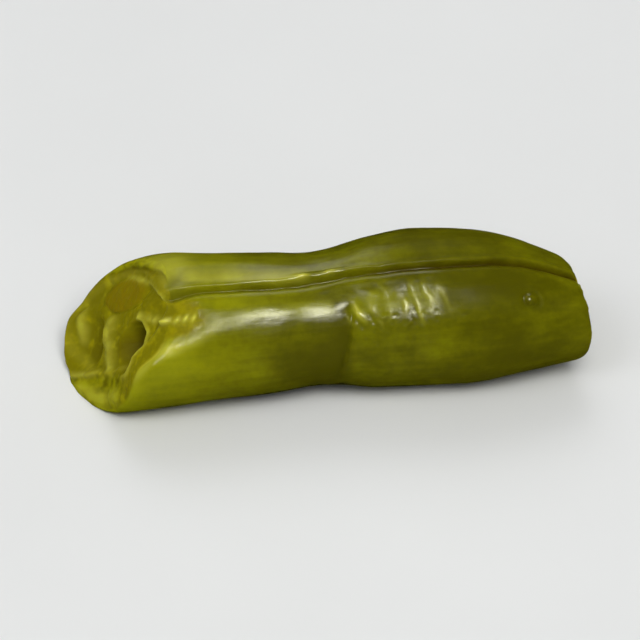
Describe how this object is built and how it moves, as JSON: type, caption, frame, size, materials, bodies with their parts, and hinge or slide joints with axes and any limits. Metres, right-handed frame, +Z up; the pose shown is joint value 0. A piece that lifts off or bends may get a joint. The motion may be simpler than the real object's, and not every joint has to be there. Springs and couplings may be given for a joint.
{
  "type": "cut green bean piece",
  "caption": "Short cut of cooked green bean pod with a seam groove, a waist between the seeds, a slanting slice that opens the seed chamber and a tapering trimmed end.",
  "frame": {"origin": "under the middle of the pod's box, on the surface it rests on", "axes": "+X along the pod from the slanting slice to the narrow end, -Y the front, +Z up"},
  "size_m": [0.0328, 0.0102, 0.0098],
  "materials": {
    "cooked_bean": "gloss"
  },
  "bodies": {
    "root": {"green_bean": "cooked_bean"}
  },
  "joints": []
}
